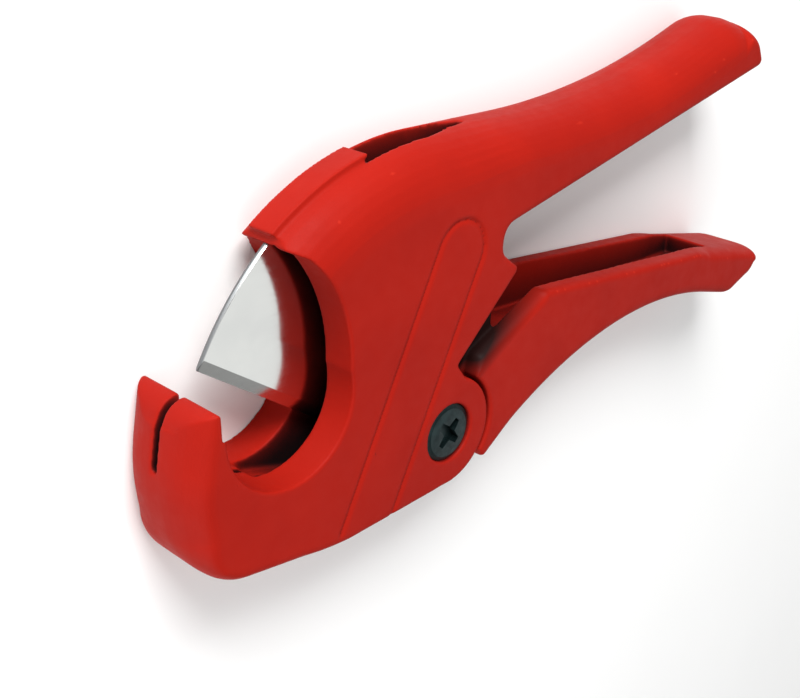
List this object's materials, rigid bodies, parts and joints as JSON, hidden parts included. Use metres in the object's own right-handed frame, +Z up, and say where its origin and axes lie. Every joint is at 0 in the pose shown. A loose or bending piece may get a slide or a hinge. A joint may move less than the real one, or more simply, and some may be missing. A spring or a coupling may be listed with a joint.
{
  "type": "pipe cutter",
  "caption": "One-hand scissor-type pipe cutter: cast body with a hooked jaw and channel handle, a cast lever carrying a flat steel blade, and one screwed pivot.",
  "frame": {"origin": "under the middle of the closed outline box, on the flat side face that the tool lies on", "axes": "+X from the jaw towards the handles' free ends, +Y from the lever towards the fixed handle, +Z up along the pivot, towards the screw head"},
  "size_m": [0.1918, 0.0865, 0.022],
  "materials": {
    "painted_casting": "satin red enamel over a fine cast texture",
    "blade_steel": "polished flat, ground bevel",
    "dark_steel": "dark oxide, slightly worn",
    "bright_steel": "bright turned",
    "spring_steel": "oil-blued wire",
    "bush_brass": "turned"
  },
  "bodies": {
    "frame": {"body": "painted_casting", "pivot_screw": "dark_steel", "sleeve_nut": "dark_steel", "spacer_bush": "bush_brass", "thrust_washers": "bright_steel", "return_spring": "spring_steel"},
    "lever": {"lever": "painted_casting", "blade": "blade_steel", "blade_rivets": "bright_steel"}
  },
  "joints": [
    {"name": "lever_pivot", "type": "hinge", "parent": "frame", "child": "lever", "pos_m": [-0.02981, -0.02952, 0.011], "axis": [0, 0, 1], "range_deg": [-24, 19], "stiffness_Nm_per_rad": 0.4, "deforming": ["return_spring"]}
  ]
}
